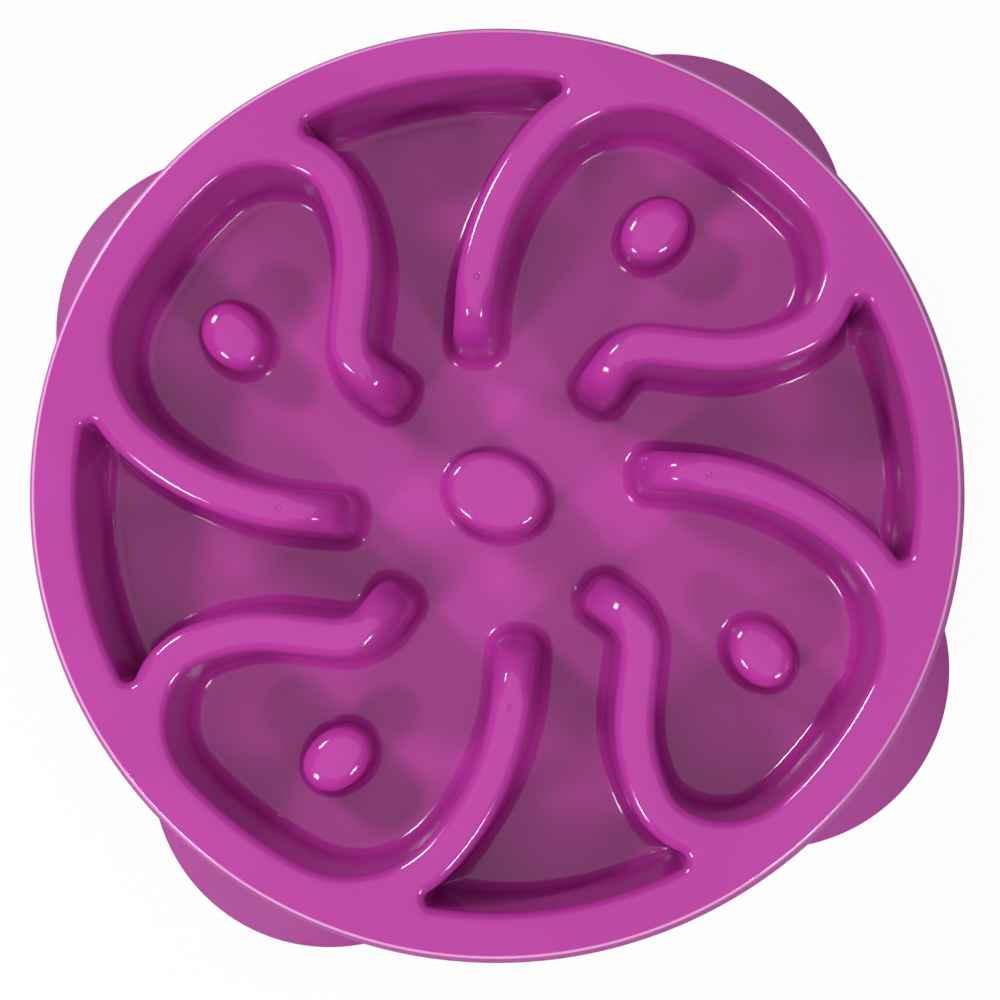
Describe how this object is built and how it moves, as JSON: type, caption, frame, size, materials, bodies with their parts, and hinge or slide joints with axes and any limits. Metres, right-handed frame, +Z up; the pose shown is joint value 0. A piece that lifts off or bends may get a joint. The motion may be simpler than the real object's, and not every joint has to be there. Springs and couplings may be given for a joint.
{
  "type": "slow feeder bowl",
  "caption": "Round slow feeder bowl: a shallow food well with a maze of curved hollow ridges and low nubs, a stepped lip, flared feet and push-in rubber pads under the feet.",
  "frame": {"origin": "on the table under the middle of the bowl", "axes": "+Z up; the feet point along +X, +Y, -X and -Y"},
  "size_m": [0.3, 0.3, 0.057],
  "materials": {
    "shell": "glossy violet-magenta moulding",
    "pad": "soft matt rubber"
  },
  "bodies": {
    "root": {"bowl_shell": "shell", "foot_pad_1": "pad", "foot_pad_2": "pad", "foot_pad_3": "pad", "foot_pad_4": "pad"}
  },
  "joints": []
}
